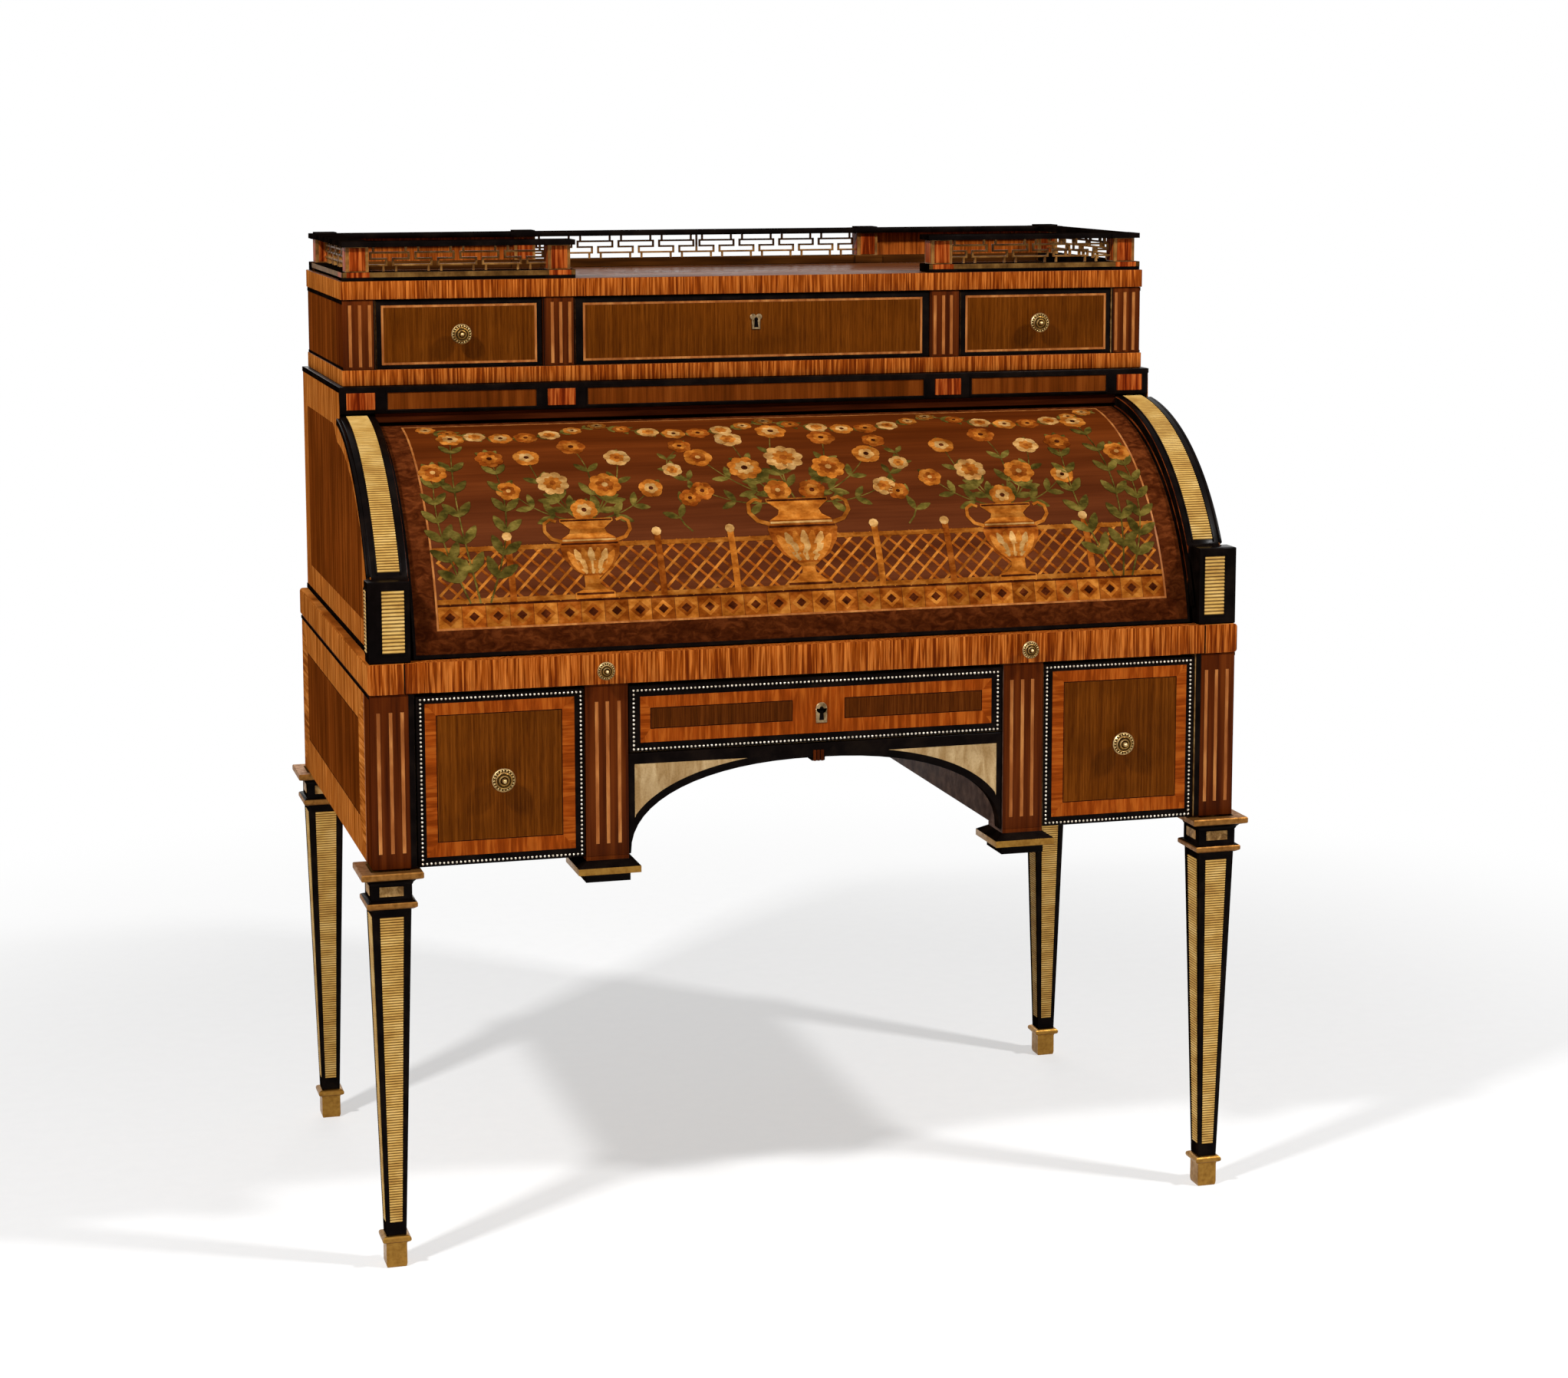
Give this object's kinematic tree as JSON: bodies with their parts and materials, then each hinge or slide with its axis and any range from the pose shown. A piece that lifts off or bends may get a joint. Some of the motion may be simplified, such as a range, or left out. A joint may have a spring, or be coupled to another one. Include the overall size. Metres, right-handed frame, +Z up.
{
  "type": "cylinder desk",
  "caption": "Cylinder desk on square tapered legs: a writing slide that rolls back the curved fall, kneehole drawers, an upper drawer case and a pierced gallery.",
  "frame": {"origin": "on the floor under the middle of the desk's bounding box", "axes": "+Z up, +X to the right as seen from the front, -Y towards the person who sits at the desk"},
  "size_m": [1.138, 0.6808, 1.2255],
  "materials": {
    "striped_wood": "polished cross-banded veneer with dark stripes",
    "brown_wood": "polished fine-striped veneer",
    "red_wood": "polished dark red-brown veneer",
    "ebonised": "polished black",
    "pale_wood": "polished pale veneer",
    "oak": "waxed",
    "gilt_brass": "lacquered",
    "iron": "dark wrought"
  },
  "bodies": {
    "case": {"leg_front_left": "ebonised", "leg_front_right": "ebonised", "leg_back_left": "ebonised", "leg_back_right": "ebonised", "sabot_front_left": "gilt_brass", "sabot_front_right": "gilt_brass", "sabot_back_left": "gilt_brass", "sabot_back_right": "gilt_brass", "side_left": "brown_wood", "side_right": "brown_wood", "knee_side_left": "red_wood", "knee_side_right": "red_wood", "floor_left": "oak", "floor_right": "oak", "lower_back": "brown_wood", "dust_board": "oak", "slide_bed": "oak", "arch_apron": "pale_wood", "band_left": "striped_wood", "band_right": "striped_wood", "pedestal_left": "ebonised", "pedestal_right": "ebonised", "cheek_left": "brown_wood", "cheek_right": "brown_wood", "pivot_stud_left": "iron", "pivot_stud_right": "iron", "cylinder_back": "brown_wood", "nest": "red_wood", "frieze": "ebonised", "lower_band": "striped_wood", "cornice": "striped_wood", "upper_side_left": "brown_wood", "upper_side_right": "brown_wood", "upper_divider_left": "red_wood", "upper_divider_right": "red_wood", "upper_back": "oak", "gallery_rear": "ebonised", "gallery_left": "ebonised", "gallery_right": "ebonised"},
    "writing_slide": {"slide": "striped_wood", "slide_knob_left": "gilt_brass", "slide_knob_right": "gilt_brass", "slide_bracket_left": "iron", "slide_bracket_right": "iron"},
    "cylinder_fall": {"cylinder": "red_wood", "cylinder_arm_left": "iron", "cylinder_arm_right": "iron"},
    "low_drawer_left": {"lower_drawer_left": "striped_wood", "lower_knob_left": "gilt_brass"},
    "low_drawer_right": {"lower_drawer_right": "striped_wood", "lower_knob_right": "gilt_brass"},
    "low_drawer_centre": {"lower_drawer_centre": "striped_wood"},
    "top_drawer_left": {"upper_drawer_left": "striped_wood", "upper_knob_left": "gilt_brass"},
    "top_drawer_right": {"upper_drawer_right": "striped_wood", "upper_knob_right": "gilt_brass"},
    "top_drawer_centre": {"upper_drawer_centre": "striped_wood"},
    "nest_drawer_left": {"nest_drawer_1": "striped_wood"},
    "nest_drawer_middle": {"nest_drawer_2": "striped_wood"},
    "nest_drawer_right": {"nest_drawer_3": "striped_wood"}
  },
  "joints": [
    {"name": "slide_pull", "type": "slide", "parent": "case", "child": "writing_slide", "axis": [0, -1, 0], "range_m": [0, 0.203]},
    {"name": "cylinder_turn", "type": "hinge", "parent": "case", "child": "cylinder_fall", "pos_m": [0, -0.0001, 0.6898], "axis": [-1, 0, 0], "range_deg": [0, 76]},
    {"name": "low_left_pull", "type": "slide", "parent": "case", "child": "low_drawer_left", "axis": [0, -1, 0], "range_m": [0, 0.36]},
    {"name": "low_right_pull", "type": "slide", "parent": "case", "child": "low_drawer_right", "axis": [0, -1, 0], "range_m": [0, 0.36]},
    {"name": "low_centre_pull", "type": "slide", "parent": "case", "child": "low_drawer_centre", "axis": [0, -1, 0], "range_m": [0, 0.36]},
    {"name": "top_left_pull", "type": "slide", "parent": "case", "child": "top_drawer_left", "axis": [0, -1, 0], "range_m": [0, 0.2]},
    {"name": "top_right_pull", "type": "slide", "parent": "case", "child": "top_drawer_right", "axis": [0, -1, 0], "range_m": [0, 0.2]},
    {"name": "top_centre_pull", "type": "slide", "parent": "case", "child": "top_drawer_centre", "axis": [0, -1, 0], "range_m": [0, 0.2]},
    {"name": "nest_left_pull", "type": "slide", "parent": "case", "child": "nest_drawer_left", "axis": [0, -1, 0], "range_m": [0, 0.075]},
    {"name": "nest_middle_pull", "type": "slide", "parent": "case", "child": "nest_drawer_middle", "axis": [0, -1, 0], "range_m": [0, 0.075]},
    {"name": "nest_right_pull", "type": "slide", "parent": "case", "child": "nest_drawer_right", "axis": [0, -1, 0], "range_m": [0, 0.075]}
  ],
  "couplings": [
    {"joint": "cylinder_turn", "follows": "slide_pull", "rad_per_m": 6.53}
  ]
}
